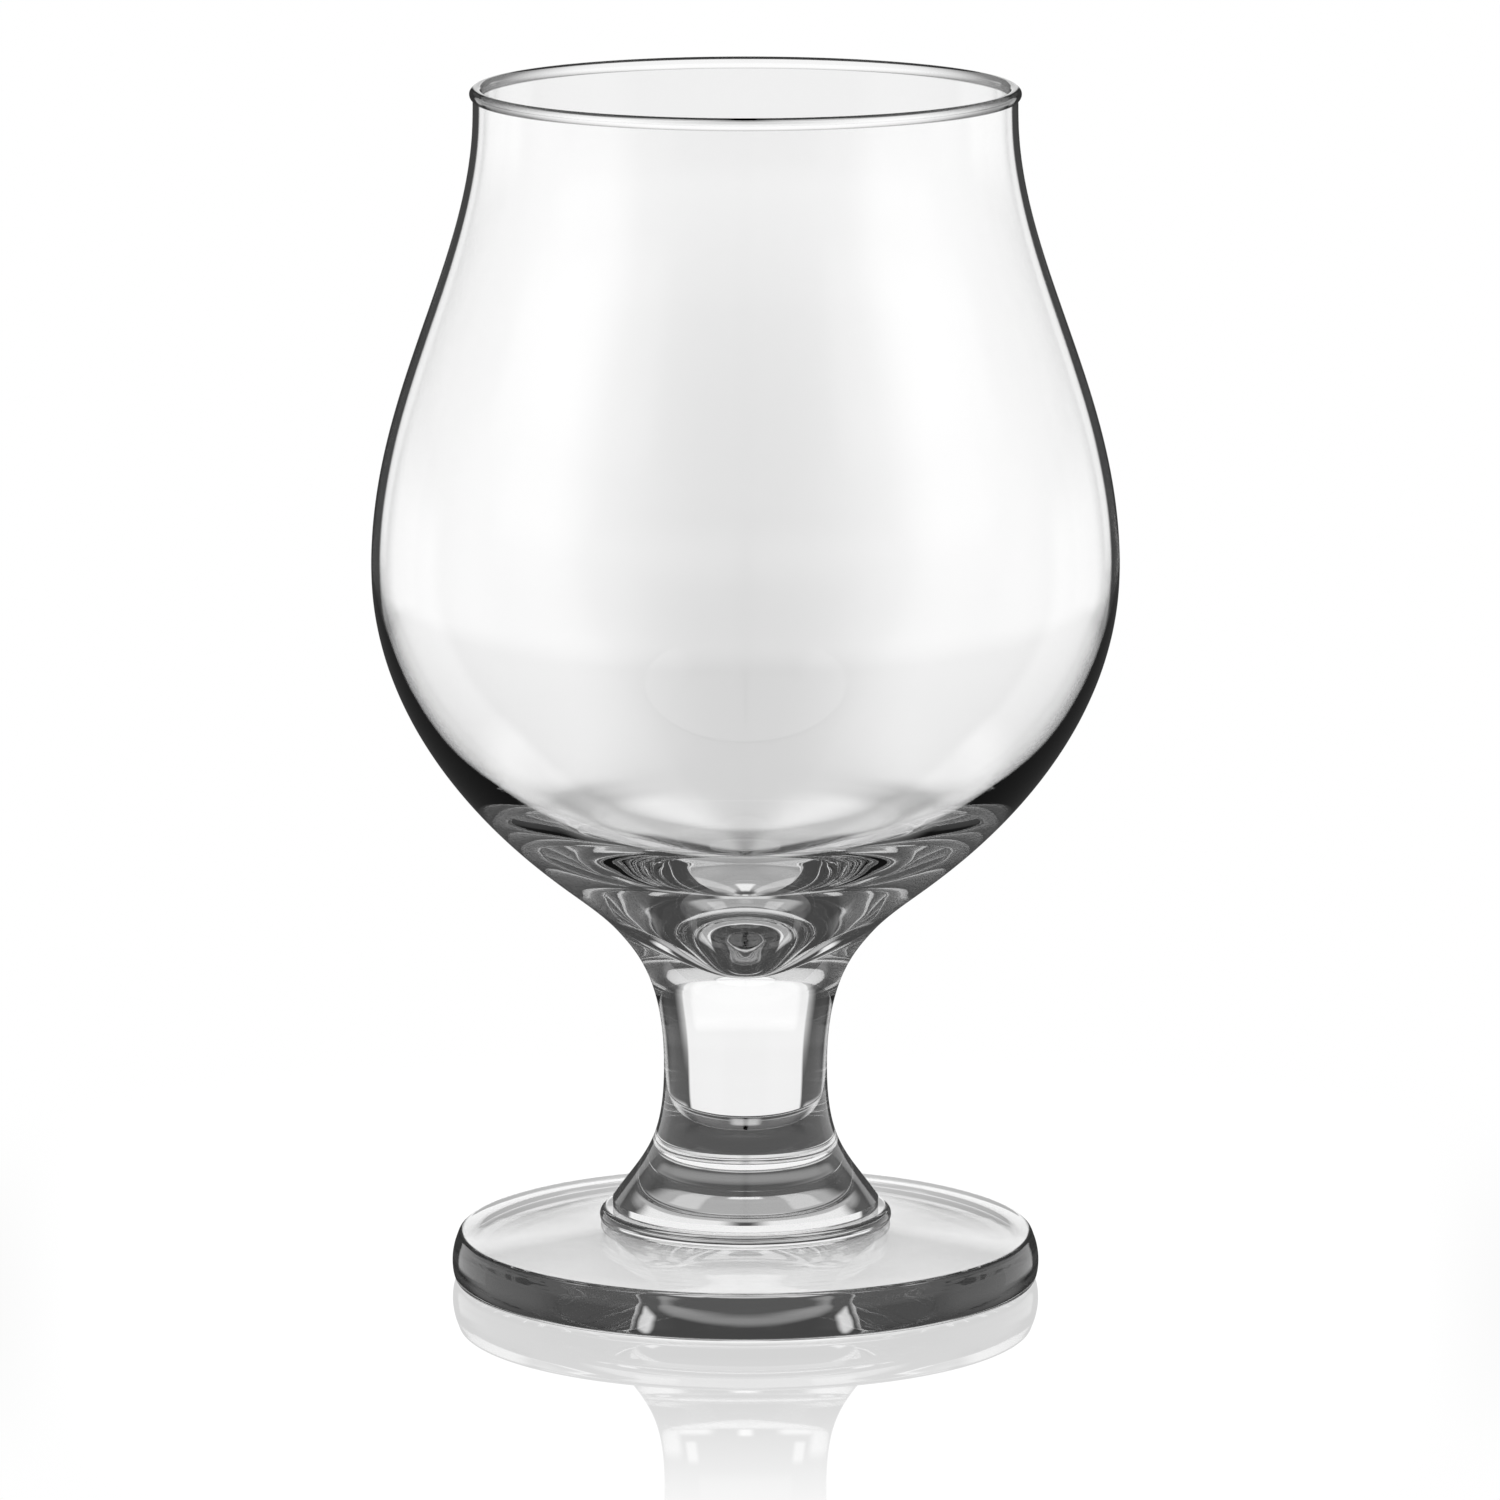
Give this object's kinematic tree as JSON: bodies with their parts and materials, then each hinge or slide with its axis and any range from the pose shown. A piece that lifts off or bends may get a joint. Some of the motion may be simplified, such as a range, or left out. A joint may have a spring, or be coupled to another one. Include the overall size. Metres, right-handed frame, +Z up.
{
  "type": "tulip beer glass",
  "caption": "Clear stemmed beer glass with a round tulip bowl that narrows to a beaded rim, on a short waisted stem and a flat round foot.",
  "frame": {"origin": "on the table, at the middle of the ring that the foot stands on", "axes": "+Z up along the glass's axis, from the foot to the rim; X and Y lie anywhere in the table, because the glass is round"},
  "size_m": [0.0948, 0.0948, 0.153],
  "materials": {
    "foot_glass": "clear pressed soda-lime glass, fire-polished",
    "stem_glass": "clear pressed soda-lime glass, fire-polished",
    "bowl_glass": "clear blown soda-lime glass, fire-polished"
  },
  "bodies": {
    "root": {"foot": "foot_glass", "stem": "stem_glass", "bowl": "bowl_glass"}
  },
  "joints": []
}
